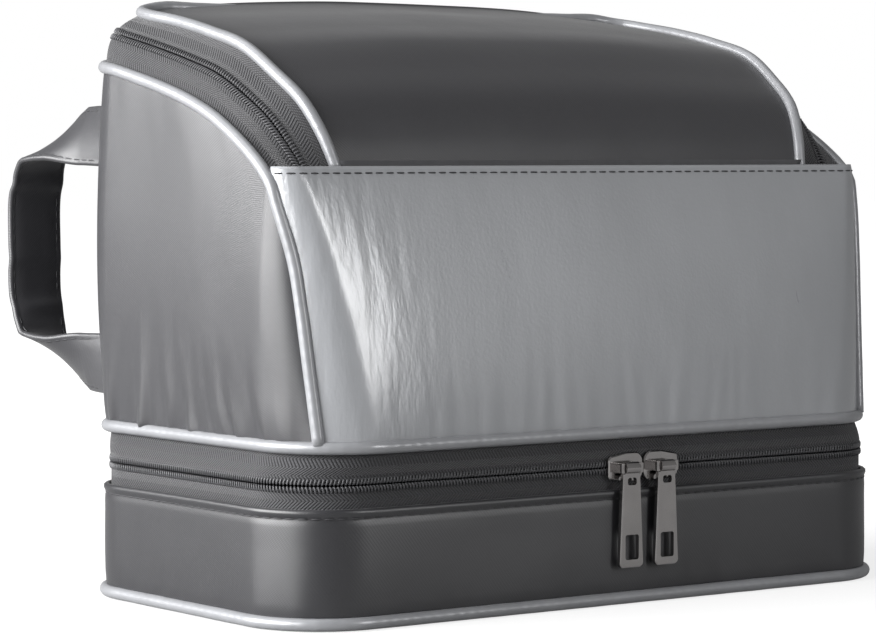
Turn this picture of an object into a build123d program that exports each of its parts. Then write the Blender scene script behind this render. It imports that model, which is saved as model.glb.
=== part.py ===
"""Two-storey toiletry bag: a zipped tray, a zipped main compartment and a strap handle.

Millimetres.  The origin is the middle of the tray's underside.  +X is the width, -Y is the front
with the pocket, +Y is the back with the handle, +Z is up.
"""
from build123d import *
from math import atan2, cos, degrees, hypot, pi, radians, sin, tan
import os

os.makedirs("parts", exist_ok=True)

# Tray
tray_width = 250.0
tray_depth = 136.0
tray_corner = 27.0
tray_height = 37.0
tray_cloth = 1.6
hem_height = 3.0
hem_roll = 0.4
floor_board = 2.0

# Piping, lining and seams
piping = 4.0
lining = 0.8
seam_gap = 0.15
band_slack = 0.4

# Upper body
waist_height = 55.4
waist_width = 237.0
waist_depth = 134.0
waist_front_corner = 27.0
back_corner = 20.0
rim_height = 140.5
rim_width = 238.0
rim_front = 51.0
rim_front_corner = 8.0
crest_height = 176.0
padding = 2.6
pocket_cloth = 1.2
pocket_hem_height = 3.0
back_rim_height = 174.5
partition = 2.4

# Lid
lid_back = 60.5
lid_back_height = 192.5
lid_back_half = 93.0
lid_corner = 12.0
lid_cloth = 2.0
lid_crown = 4.0
lid_start = 0.6
hinge_clear = 1.0

# Zips
tape = 0.8
coil = 2.0
coil_gap = 1.4
zip_line = 44.0
tape_seam = 9.0
cloth_hinge_half = 90.0

# Sliders and pulls
slider_length = 14.0
slider_width = 9.5
slider_tail = 7.0
slider_plate = 1.2
slider_clear = 0.3
slider_pair_gap = 0.6
front_pair_middle = 10.3
post_length = 3.0
post_width = 0.8
pin = 1.8
pin_span = 6.2
pin_leg = 1.4
knuckle_clear = 0.3
knuckle_wall = 0.7
pull_length = 32.0
pull_top = 7.0
pull_end = 9.8
pull_thickness = 1.6
window_width = 5.5
window_height = 8.0
window_margin = 2.6
slot_width = 3.6
slot_height = 2.4
back_pull_lean = 12.0

# Handle
strap_width = 20.0
strap_thickness = 2.4
handle_middle = 112.5
handle_spread = 37.5
handle_reach = 53.0

# Values that follow
radius = piping / 2
tray_half = tray_width / 2 - radius
tray_side = tray_depth / 2 - radius
tape_half = tray_half - tray_cloth - tape / 2
tape_side = tray_side - tray_cloth - tape / 2
waist_half = waist_width / 2
waist_side = waist_depth / 2
rim_half = rim_width / 2
panel_start = waist_height + radius + seam_gap
bead_offset = coil_gap / 2 + coil / 2
tape_offset = coil_gap / 2 + coil + seam_gap
plate_face = coil / 2 + slider_clear
slider_top = plate_face + slider_plate
knuckle = pin + 2 * (knuckle_clear + knuckle_wall)
pin_height = slider_top + knuckle / 2 + slider_clear + seam_gap


# Helpers
def plan(height, half, front, back, front_radius, rear_radius):
    """Plan outline with one corner radius in front and one behind."""
    with BuildSketch(Plane.XY.offset(height)) as outline:
        with BuildLine():
            Polyline((-half, front), (half, front), (half, back), (-half, back), close=True)
        make_face()
        fillet(outline.vertices().group_by(Axis.Y)[0], front_radius)
        fillet(outline.vertices().group_by(Axis.Y)[-1], rear_radius)
    return outline.sketch


def tray_plan(height, inset):
    """The tray's outline, drawn in by an inset."""
    corner = tray_corner - inset
    return plan(height, tray_half - inset, inset - tray_side, tray_side - inset, corner, corner)


def waist_plan(height, inset):
    """The upper body's outline at the waist, drawn in by an inset."""
    half = waist_half - inset
    side = waist_side - inset
    return plan(height, half, -side, side, waist_front_corner - inset, back_corner - inset)


def trunk(inset):
    """Solid block of the upper body with its leaning front, drawn in by an inset."""
    lean = (waist_side - rim_front) / (rim_height - waist_height)
    crest_front = rim_front - lean * (crest_height - rim_height)
    back = waist_side - inset
    rim_radius = rim_front_corner - inset
    rear = back_corner - inset
    low = waist_plan(waist_height, inset)
    rim = plan(rim_height, rim_half - inset, inset - rim_front, back, rim_radius, rear)
    crest = plan(crest_height, rim_half - inset, inset - crest_front, back, rim_radius, rear)
    with BuildPart() as block:
        loft(sections=[low, rim], ruled=True)
        loft(sections=[rim, crest], ruled=True)
    return block.part


def ring(section, outer, inner, bottom, top):
    """Upright band of cloth between two insets of an outline."""
    with BuildPart() as band:
        extrude(section(bottom, outer), amount=top - bottom)
        extrude(section(bottom, inner), amount=top - bottom, mode=Mode.SUBTRACT)
    return band.part


def easy_radii(points):
    """Largest tangent arc at each inner point of a route."""
    radii = []
    for before, here, after in zip(points, points[1:], points[2:]):
        arrive = Vector(*here) - Vector(*before)
        leave = Vector(*after) - Vector(*here)
        turn = radians(arrive.get_angle(leave))
        radii.append(0.45 * min(arrive.length, leave.length) / tan(turn / 2))
    return radii


def tube(route, diameter):
    """Round tube along straight runs joined by tangent arcs."""
    with BuildPart() as piece:
        with BuildLine() as path:
            FilletPolyline(*route, radius=easy_radii(route))
        with BuildSketch(Plane(route[0], z_dir=path.line % 0)):
            Circle(diameter / 2)
        sweep()
    return piece.part


def loop_tube(outline, diameter, start):
    """Round tube along the edge of a plan outline."""
    with BuildPart() as piece:
        with BuildSketch(Plane(start, z_dir=(0, 1, 0))):
            Circle(diameter / 2)
        sweep(path=outline.face().outer_wire())
    return piece.part


# Seam stations, from the pocket's hem up the side and round the back corner
body_seam = [
    (119.0, -43.0, 139.5),
    (119.0, -35.0, 144.0),
    (119.0, -25.0, 150.0),
    (119.0, -14.0, 155.5),
    (119.0, -2.0, 160.0),
    (119.0, 14.0, 164.5),
    (119.0, 32.0, 168.5),
]
lid_seam = [
    (96.0, -50.0, 141.5),
    (98.0, -44.0, 150.0),
    (100.5, -36.0, 160.0),
    (103.0, -23.5, 169.5),
    (104.5, -10.0, 177.5),
    (105.0, 9.0, 182.7),
    (105.0, 29.0, 186.7),
]
corner_drop = 3.0
corner_steps = 4


def round_corner(middle_x, middle_y, bend, back_height):
    """Stations round a back corner, rising to the back seam."""
    stations = []
    for step in range(corner_steps + 1):
        share = step / corner_steps
        angle = share * pi / 2
        height = back_height - corner_drop * (1 - share)
        stations.append((middle_x + bend * cos(angle), middle_y + bend * sin(angle), height))
    return stations


body_seam += round_corner(rim_half - back_corner, waist_side - back_corner, back_corner, back_rim_height)
lid_seam += round_corner(lid_back_half, lid_back - lid_corner, lid_corner, lid_back_height)
band_width = [hypot(*(a - b for a, b in zip(*pair))) for pair in zip(body_seam, lid_seam)]


def band_route(shift, edge=None):
    """Stations across the zip band: a shift from its middle, or a distance from one seam."""
    route = []
    for low, high, width in zip(body_seam, lid_seam, band_width):
        share = 0.5 + shift / width
        if edge == "body":
            share = shift / width
        if edge == "lid":
            share = 1 - shift / width
        route.append(tuple(a + share * (b - a) for a, b in zip(low, high)))
    return route


def whole(route):
    """A left route joined to its mirror image."""
    return [(-x, y, z) for x, y, z in route] + [(x, y, z) for x, y, z in reversed(route)]


def band_strip(low, high):
    """Thin tape between two routes, cut level above the pocket's hem."""
    with BuildPart() as strip:
        with BuildLine(mode=Mode.PRIVATE):
            low_curve = Spline(*low, tangents=[Vector(*low[1]) - Vector(*low[0]), (-1, 0, 0)])
            high_curve = Spline(*high, tangents=[Vector(*high[1]) - Vector(*high[0]), (-1, 0, 0)])
            low_back = Line(low[-1], (0, low[-1][1], low[-1][2]))
            high_back = Line(high[-1], (0, high[-1][1], high[-1][2]))
        thicken(Face.make_surface_from_curves(low_curve, high_curve), amount=tape / 2, both=True)
        thicken(Face.make_surface_from_curves(low_back, high_back), amount=tape / 2, both=True)
        mirror(about=Plane.YZ)
        split(bisect_by=Plane.XY.offset(rim_height + lid_start), keep=Keep.TOP)
    return strip.part


# Tray
with BuildPart() as tray_floor:
    extrude(tray_plan(0, radius + seam_gap), amount=floor_board)
tray_floor.part.label = "tray_floor"
export_step(tray_floor.part, "parts/tray_floor.step")

with BuildPart() as tray_wall:
    add(ring(tray_plan, 0, tray_cloth, piping, tray_height - hem_height - seam_gap))
tray_wall.part.label = "tray_wall"
export_step(tray_wall.part, "parts/tray_wall.step")

with BuildPart() as tray_hem:
    add(ring(tray_plan, -hem_roll, tray_cloth, tray_height - hem_height, tray_height))
tray_hem.part.label = "tray_hem"
export_step(tray_hem.part, "parts/tray_hem.step")

with BuildPart() as base_piping:
    add(loop_tube(tray_plan(radius, 0), piping, (tray_half, 0, radius)))
base_piping.part.label = "base_piping"
export_step(base_piping.part, "parts/base_piping.step")

lining_face = tray_cloth + tape
with BuildPart() as tray_lining:
    add(ring(tray_plan, lining_face, lining_face + lining, floor_board, tray_height - radius / 2))
tray_lining.part.label = "tray_lining"
export_step(tray_lining.part, "parts/tray_lining.step")


# Lower zip, which stops at the cloth hinge behind
def hinge_run(half, bottom, top):
    """Block over the straight back run that the cloth hinge fills."""
    with BuildPart(Plane.XY.offset(bottom)) as block:
        with Locations((0, tray_side)):
            Box(2 * half, tray_side, top - bottom, align=(Align.CENTER, Align.CENTER, Align.MIN))
    return block.part


tray_tape_bottom = tray_height - tape_seam
tray_tape_top = zip_line - tape_offset
body_tape_bottom = zip_line + tape_offset
body_tape_top = waist_height - radius - seam_gap

with BuildPart() as tray_zip_tape:
    add(ring(tray_plan, tray_cloth, tray_cloth + tape, tray_tape_bottom, tray_tape_top))
    add(hinge_run(cloth_hinge_half, tray_tape_bottom, tray_tape_top), mode=Mode.SUBTRACT)
tray_zip_tape.part.label = "tray_zip_tape"
export_step(tray_zip_tape.part, "parts/tray_zip_tape.step")

for name, height in (("tray_zip_coil", zip_line - bead_offset), ("body_lower_coil", zip_line + bead_offset)):
    with BuildPart() as bead:
        add(loop_tube(tray_plan(height, tray_cloth + tape / 2), coil, (tape_half, 0, height)))
        add(hinge_run(cloth_hinge_half, height - coil, height + coil), mode=Mode.SUBTRACT)
    bead.part.label = name
    export_step(bead.part, f"parts/{name}.step")

upper_tape_inset = 1.5


def leaning_band(spread):
    """Solid inside the leaning upper tape, grown or drawn in by half the tape."""
    low = tray_plan(body_tape_bottom, tray_cloth + tape / 2 + spread)
    high = waist_plan(body_tape_top, upper_tape_inset + spread)
    with BuildPart() as block:
        loft(sections=[low, high], ruled=True)
    return block.part


with BuildPart() as leaning_ring:
    add(leaning_band(-tape / 2))
    add(leaning_band(tape / 2), mode=Mode.SUBTRACT)

with BuildPart() as body_lower_tape:
    add(leaning_ring.part)
    add(hinge_run(cloth_hinge_half, body_tape_bottom, body_tape_top), mode=Mode.SUBTRACT)
body_lower_tape.part.label = "body_lower_tape"
export_step(body_lower_tape.part, "parts/body_lower_tape.step")

# Cloth hinge, one strip on each side of the fold line
with BuildPart() as hinge_strip_lower:
    add(ring(tray_plan, tray_cloth, tray_cloth + tape, tray_tape_bottom, zip_line - hinge_clear))
    inner = hinge_run(cloth_hinge_half - seam_gap, tray_tape_bottom, zip_line)
    add(inner, mode=Mode.INTERSECT)
hinge_strip_lower.part.label = "hinge_strip_lower"
export_step(hinge_strip_lower.part, "parts/hinge_strip_lower.step")

with BuildPart() as hinge_strip_upper:
    add(leaning_ring.part)
    upright = tray_cloth + tape / 2
    add(ring(tray_plan, upright - tape / 2, upright + tape / 2, zip_line + lid_start, body_tape_bottom))
    inner = hinge_run(cloth_hinge_half - seam_gap, zip_line, body_tape_top)
    add(inner, mode=Mode.INTERSECT)
hinge_strip_upper.part.label = "hinge_strip_upper"
export_step(hinge_strip_upper.part, "parts/hinge_strip_upper.step")

# Upper body: waist, partition and pipings
with BuildPart() as waist_piping:
    add(loop_tube(waist_plan(waist_height, 0), piping, (waist_half, 0, waist_height)))
waist_piping.part.label = "waist_piping"
export_step(waist_piping.part, "parts/waist_piping.step")

with BuildPart() as partition_panel:
    extrude(waist_plan(waist_height + radius - partition, radius + seam_gap), amount=partition)
partition_panel.part.label = "partition_panel"
export_step(partition_panel.part, "parts/partition_panel.step")


def front_corner(height):
    """Middle of the rounded front corner at a height, on the outer face."""
    share = (height - waist_height) / (rim_height - waist_height)
    half = waist_half + share * (rim_half - waist_half)
    front = waist_side + share * (rim_front - waist_side)
    bend = waist_front_corner + share * (rim_front_corner - waist_front_corner)
    diagonal = bend * (1 - sin(pi / 4))
    return (half - diagonal, diagonal - front, height)


corner_low = front_corner(panel_start + band_slack)
corner_high = front_corner(rim_height - piping)
body_seam_left = [corner_low, corner_high] + body_seam
body_route = whole(body_seam_left)
print("body piping radii", [round(value, 1) for value in easy_radii(body_route)])

with BuildPart() as body_piping:
    add(tube(body_route, piping))
body_piping.part.label = "body_piping"
export_step(body_piping.part, "parts/body_piping.step")

# Outline of the side panel, seen from the side, just inside its piping
side_reach = radius + seam_gap
corner_reach = side_reach + seam_gap
lid_reach = radius + band_slack + seam_gap
seam_side = waist_side - back_corner * (1 - sin(pi / 4))
seam_index = len(body_seam) - 1 - corner_steps // 2


def under_seam(first, last):
    """Side view of the cloth edge just under the body's piping, between two stations."""
    return [(y + side_reach / 2, z - side_reach) for x, y, z in body_seam[first:last + 1]]


def side_sketch():
    """Side view of the cloth under the side piping, back to the corner seam."""
    with BuildSketch(Plane.YZ) as view:
        with BuildLine():
            front_foot = (corner_low[1] + corner_reach, panel_start)
            front_head = (corner_high[1] + corner_reach, corner_high[2] - side_reach)
            rising = under_seam(0, seam_index)
            Line(front_foot, front_head)
            Line(front_head, rising[0])
            Spline(*rising)
            Polyline(rising[-1], (rising[-1][0], panel_start), front_foot)
        make_face()
    return view.sketch


slot_half = strap_thickness / 2 + seam_gap
seam_half = rim_half - back_corner * (1 - sin(pi / 4))


def strap_slots():
    """Gap in the back corner seam where the two strap ends are sewn in."""
    with BuildPart(Plane.XY.offset(handle_middle)) as gaps:
        with Locations((-seam_half, seam_side, handle_spread), (-seam_half, seam_side, -handle_spread)):
            Box(2 * slot_half, back_corner / 2, strap_width + 2 * seam_gap)
    return gaps.part


with BuildPart() as cloth_shell:
    add(trunk(0))
    add(trunk(padding), mode=Mode.SUBTRACT)

with BuildPart() as side_prism:
    extrude(side_sketch(), amount=rim_half + radius)
    split(bisect_by=Plane.XZ.offset(-seam_side), keep=Keep.TOP)
    split(bisect_by=Plane.YZ.offset(seam_half - back_corner), keep=Keep.TOP)

with BuildPart() as right_side_panel:
    add(cloth_shell.part)
    add(side_prism.part, mode=Mode.INTERSECT)
right_side_panel.part.label = "right_side_panel"
export_step(right_side_panel.part, "parts/right_side_panel.step")

with BuildPart() as left_side_panel:
    mirror(right_side_panel.part, about=Plane.YZ)
    add(strap_slots(), mode=Mode.SUBTRACT)
left_side_panel.part.label = "left_side_panel"
export_step(left_side_panel.part, "parts/left_side_panel.step")

with BuildPart() as back_panel:
    add(cloth_shell.part)
    with BuildSketch(Plane.YZ) as back_view:
        with BuildLine():
            top_edge = under_seam(seam_index, len(body_seam) - 1)
            Polyline((seam_side, panel_start), (seam_side, top_edge[0][1]), *top_edge[1:],
                     (tray_depth, top_edge[-1][1]), (tray_depth, panel_start), close=True)
        make_face()
    extrude(amount=seam_half, both=True, mode=Mode.INTERSECT)
    add(strap_slots(), mode=Mode.SUBTRACT)
back_panel.part.label = "back_panel"
export_step(back_panel.part, "parts/back_panel.step")

# Front pocket over the front panel
with BuildPart() as front_prism:
    with BuildSketch(Plane.XZ) as front_view:
        with BuildLine():
            foot = (corner_low[0] - corner_reach, panel_start)
            head = (corner_high[0] - corner_reach, corner_high[2])
            Polyline((0, panel_start), foot, head, (head[0], rim_height), (0, rim_height), close=True)
        make_face()
        mirror(about=Plane.YZ)
    extrude(amount=tray_depth)


def front_layer(outer, inner, bottom, top):
    """Layer of the front between two insets and two heights."""
    with BuildPart() as layer:
        add(trunk(outer))
        add(trunk(inner), mode=Mode.SUBTRACT)
        add(front_prism.part, mode=Mode.INTERSECT)
        with BuildPart(Plane.XY.offset(bottom), mode=Mode.PRIVATE) as level:
            Box(tray_width, 2 * tray_depth, top - bottom, align=(Align.CENTER, Align.CENTER, Align.MIN))
        add(level.part, mode=Mode.INTERSECT)
    return layer.part


hem_bottom = rim_height - pocket_hem_height
with BuildPart() as front_pocket:
    add(front_layer(0, pocket_cloth, panel_start, hem_bottom - seam_gap))
front_pocket.part.label = "front_pocket"
export_step(front_pocket.part, "parts/front_pocket.step")

with BuildPart() as pocket_hem:
    add(front_layer(-hem_roll, pocket_cloth, hem_bottom, rim_height))
pocket_hem.part.label = "pocket_hem"
export_step(pocket_hem.part, "parts/pocket_hem.step")

with BuildPart() as front_panel:
    add(front_layer(pocket_cloth + seam_gap, padding, panel_start, rim_height))
front_panel.part.label = "front_panel"
export_step(front_panel.part, "parts/front_panel.step")

with BuildPart() as main_lining:
    add(trunk(padding + seam_gap))
    add(trunk(padding + seam_gap + lining), mode=Mode.SUBTRACT)
    with BuildSketch(Plane.YZ) as lining_view:
        with BuildLine():
            rising = under_seam(1, seam_index)
            rim_foot = (-tray_depth, rim_height)
            rim_edge = (rising[0][0] - piping, rim_height)
            Polyline((tray_depth, panel_start), (-tray_depth, panel_start), rim_foot, rim_edge, rising[0])
            Spline(*rising)
            Polyline(rising[-1], (tray_depth, rising[-1][1]), (tray_depth, panel_start))
        make_face()
    extrude(amount=rim_half, both=True, mode=Mode.INTERSECT)
main_lining.part.label = "main_lining"
export_step(main_lining.part, "parts/main_lining.step")

# Main zip band
strips = {
    "body_zip_tape": (band_route(radius + band_slack, "body"), band_route(-tape_offset - band_slack)),
    "lid_zip_tape": (band_route(tape_offset + band_slack), band_route(radius + band_slack, "lid")),
}
for name, (low, high) in strips.items():
    with BuildPart() as strip:
        add(band_strip(low, high))
    strip.part.label = name
    export_step(strip.part, f"parts/{name}.step")

for name, shift in (("body_zip_coil", -bead_offset), ("lid_zip_coil", bead_offset)):
    with BuildPart() as bead:
        add(tube(whole(band_route(shift)), coil))
        split(bisect_by=Plane.XY.offset(rim_height + lid_start), keep=Keep.TOP)
    bead.part.label = name
    export_step(bead.part, f"parts/{name}.step")

# Lid
with BuildPart() as lid_piping:
    add(tube(whole(lid_seam), piping))
    split(bisect_by=Plane.XY.offset(rim_height + lid_start), keep=Keep.TOP)
lid_piping.part.label = "lid_piping"
export_step(lid_piping.part, "parts/lid_piping.step")


def lid_layer(near, far):
    """Crowned layer of the lid between two depths, inside the lid's piping."""
    profile = lid_seam[:8] + [(lid_seam[7][0], lid_back, lid_back_height)]
    with BuildPart() as layer:
        for index, (x, y, z) in enumerate(profile):
            before = profile[max(index - 1, 0)]
            after = profile[min(index + 1, len(profile) - 1)]
            steep = cos(atan2(after[2] - before[2], after[1] - before[1]))
            crown = hem_roll + lid_crown * min(1, index / 4)
            top = z - near / steep
            bottom = z - far / steep
            half = x - lid_reach
            place = min(y, lid_back - lid_reach)
            with BuildSketch(Plane((0, place, 0), x_dir=(1, 0, 0), z_dir=(0, -1, 0))):
                with BuildLine():
                    ThreePointArc((-half, top), (0, top + crown), (half, top))
                    Line((half, top), (half, bottom))
                    ThreePointArc((half, bottom), (0, bottom + crown), (-half, bottom))
                    Line((-half, bottom), (-half, top))
                make_face()
        loft()
        bend = lid_corner - lid_reach
        with BuildSketch(Plane.XY.offset(rim_height)):
            with Locations((lid_back_half, lid_back - lid_corner)):
                Rectangle(tray_depth, tray_depth, align=(Align.MIN, Align.MIN))
                Circle(bend, mode=Mode.SUBTRACT)
            mirror(about=Plane.YZ)
        extrude(amount=rim_height, mode=Mode.SUBTRACT)
        split(bisect_by=Plane.XY.offset(rim_height + lid_start), keep=Keep.TOP)
    return layer.part


with BuildPart() as lid_panel:
    add(lid_layer(0, lid_cloth))
lid_panel.part.label = "lid_panel"
export_step(lid_panel.part, "parts/lid_panel.step")

with BuildPart() as lid_lining:
    add(lid_layer(lid_cloth + seam_gap, lid_cloth + seam_gap + lining))
lid_lining.part.label = "lid_lining"
export_step(lid_lining.part, "parts/lid_lining.step")


# Strap handle, twisted a quarter turn at each end
def strap_plane(reach, height, twist, lean):
    """Cross-section of the strap: twist turns its width from upright to level."""
    width = Vector(sin(radians(twist)), 0, cos(radians(twist)))
    along = Vector(0, cos(radians(lean)), -sin(radians(lean)))
    width = width - along * width.dot(along)
    return Plane((-seam_half + reach * 0.05, seam_side + reach, height), x_dir=width, z_dir=along)


upper_half = [
    (seam_gap, handle_spread, 0, 0),
    (0.30 * handle_reach, handle_spread, 15, 2),
    (0.62 * handle_reach, handle_spread - 1.5, 50, 14),
    (0.88 * handle_reach, handle_spread - 8.0, 78, 42),
    (0.98 * handle_reach, handle_spread - 18.0, 88, 72),
]
with BuildPart() as handle_strap:
    for reach, rise, twist, lean in upper_half:
        with BuildSketch(strap_plane(reach, handle_middle + rise, twist, lean)):
            Rectangle(strap_width, strap_thickness)
    with BuildSketch(strap_plane(handle_reach, handle_middle, 90, 90)):
        Rectangle(strap_width, strap_thickness)
    for reach, rise, twist, lean in reversed(upper_half):
        with BuildSketch(strap_plane(reach, handle_middle - rise, 180 - twist, 180 - lean)):
            Rectangle(strap_width, strap_thickness)
    loft()
handle_strap.part.label = "handle_strap"
export_step(handle_strap.part, "parts/handle_strap.step")

# Slider, made once with its nose towards +X, its outer face up and the coil at Z = 0
with BuildPart() as slider:
    for sign in (1, -1):
        with BuildSketch(Plane.XY.offset(plate_face if sign > 0 else -slider_top)):
            with BuildLine():
                Polyline((-slider_length / 2, -slider_tail / 2), (0, -slider_width / 2),
                         (slider_length / 2, -slider_width / 2), (slider_length / 2, slider_width / 2),
                         (0, slider_width / 2), (-slider_length / 2, slider_tail / 2), close=True)
            make_face()
            fillet(vertices().group_by(Axis.X)[-1], slider_width / 3)
            fillet(vertices().group_by(Axis.X)[0], slider_plate)
        extrude(amount=slider_plate)
    chamfer(faces().sort_by(Axis.Z)[-1].edges(), slider_plate / 3)
    with BuildSketch(Plane.XY.offset(-plate_face)):
        with Locations((slider_length / 2 - post_length / 2 - slider_plate, 0)):
            RectangleRounded(post_length, post_width, post_width / 3)
    extrude(amount=2 * plate_face)
    with BuildSketch(Plane.XY.offset(slider_top)):
        with Locations(((pin_span + pin_leg) / 2, 0), (-(pin_span + pin_leg) / 2, 0)):
            RectangleRounded(pin_leg, knuckle - 2 * slider_clear, pin_leg / 3)
    extrude(amount=pin_height - slider_top + pin / 2)
    with BuildSketch(Plane.YZ.offset(-(pin_span + pin_leg) / 2)):
        with Locations((0, pin_height)):
            Circle(pin / 2)
    extrude(amount=pin_span + pin_leg)

# Pull tab, made once with its pin on the X axis, hanging along -Y, its face towards +Z
with BuildPart() as pull:
    with BuildSketch(Plane.XY.offset(-pull_thickness / 2)):
        with BuildLine():
            Polyline((-pull_top / 2, -knuckle / 2), (pull_top / 2, -knuckle / 2),
                     (pull_end / 2, -pull_length), (-pull_end / 2, -pull_length), close=True)
        make_face()
        fillet(vertices().group_by(Axis.Y)[0], pull_thickness)
        with Locations((0, -pull_length + window_margin + window_height / 2)):
            RectangleRounded(window_width, window_height, pull_thickness / 2, mode=Mode.SUBTRACT)
        with Locations((0, -knuckle / 2 - slot_height)):
            RectangleRounded(slot_width, slot_height, pull_thickness / 2, mode=Mode.SUBTRACT)
    extrude(amount=pull_thickness)
    chamfer(faces().sort_by(Axis.Z)[-1].outer_wire().edges().filter_by(GeomType.LINE).sort_by(Axis.Y)[0], 0.3)
    with BuildSketch(Plane.YZ.offset(-pin_span / 2 + slider_clear)):
        Circle(knuckle / 2)
    extrude(amount=pin_span - 2 * slider_clear)
    with BuildSketch(Plane.XZ.offset(knuckle / 2)):
        Rectangle(pin_span - 2 * slider_clear, pull_thickness)
    extrude(amount=-knuckle / 2)
    with BuildSketch(Plane.YZ.offset(-pin_span / 2)):
        Circle(pin / 2 + knuckle_clear)
    extrude(amount=pin_span, mode=Mode.SUBTRACT)

# Sliders in place: two in front on the lower zip, two behind on the main zip
half_pair = (slider_length + slider_pair_gap) / 2
back_low = band_route(0)[-1]
back_tilt = degrees(atan2(waist_side - lid_back, lid_back_height - back_rim_height))
outward = Vector(0, cos(radians(back_tilt)), sin(radians(back_tilt)))
front_point = Vector(front_pair_middle, -tape_side, zip_line)
back_point = Vector(0, back_low[1], back_low[2])
places = {
    "lower_left": (front_point - Vector(half_pair, 0, 0), Vector(1, 0, 0), Vector(0, -1, 0)),
    "lower_right": (front_point + Vector(half_pair, 0, 0), Vector(-1, 0, 0), Vector(0, -1, 0)),
    "main_left": (back_point - Vector(half_pair, 0, 0), Vector(1, 0, 0), outward),
    "main_right": (back_point + Vector(half_pair, 0, 0), Vector(-1, 0, 0), outward),
}
for name, (point, nose, face) in places.items():
    place = Plane(point, x_dir=nose, z_dir=face)
    with BuildPart(place) as placed_slider:
        add(slider.part)
    placed_slider.part.label = f"{name}_slider"
    export_step(placed_slider.part, f"parts/{name}_slider.step")

    pin_point = point + face * pin_height
    lean = radians(back_pull_lean) if name.startswith("main") else 0
    side = 1 if face.Y > 0 else -1
    hanging = Vector(0, side * sin(lean), -cos(lean))
    pull_face = Vector(0, side * cos(lean), sin(lean))
    with BuildPart(Plane(pin_point, x_dir=pull_face.cross(hanging), z_dir=pull_face)) as placed_pull:
        add(pull.part)
    placed_pull.part.label = f"{name}_pull"
    export_step(placed_pull.part, f"parts/{name}_pull.step")
    print(name, "slider at", [round(value, 2) for value in point], "pin at", [round(v, 2) for v in pin_point])

print("lid piping radii", [round(value, 1) for value in easy_radii(whole(lid_seam))])
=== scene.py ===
"""Two-storey toiletry bag, dressed over its fixed frame.

Lengths are worked out in millimetres and turned into metres when a mesh is made. A place is a share of
the way round a plan outline, from the middle of the back round by the left, or on a seam a station number.
"""
import math

import bpy
import numpy as np
from mathutils import Matrix, Vector, noise


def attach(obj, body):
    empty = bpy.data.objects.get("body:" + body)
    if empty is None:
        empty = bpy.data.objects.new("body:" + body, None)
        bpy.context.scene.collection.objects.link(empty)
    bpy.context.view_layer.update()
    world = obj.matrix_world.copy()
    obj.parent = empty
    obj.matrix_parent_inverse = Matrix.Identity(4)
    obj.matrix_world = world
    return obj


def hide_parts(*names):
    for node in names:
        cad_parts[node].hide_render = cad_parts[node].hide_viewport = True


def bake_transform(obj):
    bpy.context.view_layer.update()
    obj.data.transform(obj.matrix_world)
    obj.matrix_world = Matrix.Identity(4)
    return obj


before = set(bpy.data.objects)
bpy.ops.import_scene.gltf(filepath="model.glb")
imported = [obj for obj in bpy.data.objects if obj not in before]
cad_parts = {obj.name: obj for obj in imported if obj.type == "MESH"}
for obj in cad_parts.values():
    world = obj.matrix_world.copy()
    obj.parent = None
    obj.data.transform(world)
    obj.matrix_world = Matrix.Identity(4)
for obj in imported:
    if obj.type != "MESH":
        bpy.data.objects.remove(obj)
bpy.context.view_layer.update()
MM = 0.001
TINY = 1e-9

# Plan outlines and heights of the frame that the cloth follows
TRAY = dict(half=123.0, front=-66.0, back=66.0, front_corner=27.0, back_corner=27.0)
WAIST = dict(half=118.5, front=-67.0, back=67.0, front_corner=27.0, back_corner=20.0)
RIM = dict(half=119.0, front=-51.0, back=67.0, front_corner=8.0, back_corner=20.0)
HEM_SEAM_Z = 34.1
TRAY_TOP_Z = 37.0
ZIP_Z = 44.0
WAIST_Z = 55.4
RIM_Z = 140.5
PIPING = 4.0
HINGE_HALF = 90.0

# Seams of the main zip on one half, from the pocket's hem to the back corner
BODY_SEAM = [
    (119.0, -43.0, 139.5),
    (119.0, -35.0, 144.0),
    (119.0, -25.0, 150.0),
    (119.0, -14.0, 155.5),
    (119.0, -2.0, 160.0),
    (119.0, 14.0, 164.5),
    (119.0, 32.0, 168.5),
]
LID_SEAM = [
    (95.3, -46.4, 138.9),
    (97.8, -42.4, 149.8),
    (100.5, -36.0, 160.0),
    (103.0, -23.5, 169.5),
    (104.5, -10.0, 177.5),
    (105.0, 9.0, 182.7),
    (105.0, 29.0, 186.7),
]

# Back corners of those seams: middle x and y, bend, and height at the back
BODY_BACK = (99.0, 47.0, 20.0, 174.5)
LID_BACK = (93.0, 48.5, 12.0, 192.5)
CORNER_DROP = 3.0
CORNER_STEPS = 4
BACK_STEPS = 6

# Thickness of each cloth
WALL_THICK = 1.1
TRAY_LINING_THICK = 0.7
TAPE_THICK = 0.55
HINGE_THICK = 0.8
PANEL_THICK = 2.2
POCKET_THICK = 0.9
FRONT_THICK = 1.0
LINING_THICK = 0.6
LID_THICK = 1.9
FOLD_THICK = 0.7


# Outlines and routes
def round_corner(middle_x, middle_y, bend, height):
    """Stations round a back corner, rising to the back seam."""
    stations = []
    for step in range(CORNER_STEPS + 1):
        share = step / CORNER_STEPS
        angle = share * math.pi / 2
        rise = CORNER_DROP * (1 - share)
        x, y = middle_x + bend * math.cos(angle), middle_y + bend * math.sin(angle)
        stations.append((x, y, height - rise))
    return stations


def back_run(station):
    """Stations across half of the straight back."""
    x, y, z = station
    return [(x * (1 - step / BACK_STEPS), y, z) for step in range(1, BACK_STEPS + 1)]


def whole(half):
    """A left half, from the front hem to the middle of the back, joined to its mirror image."""
    left = [(-x, y, z) for x, y, z in half]
    right = [(x, y, z) for x, y, z in reversed(half[:-1])]
    return np.array(left + right)


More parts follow.
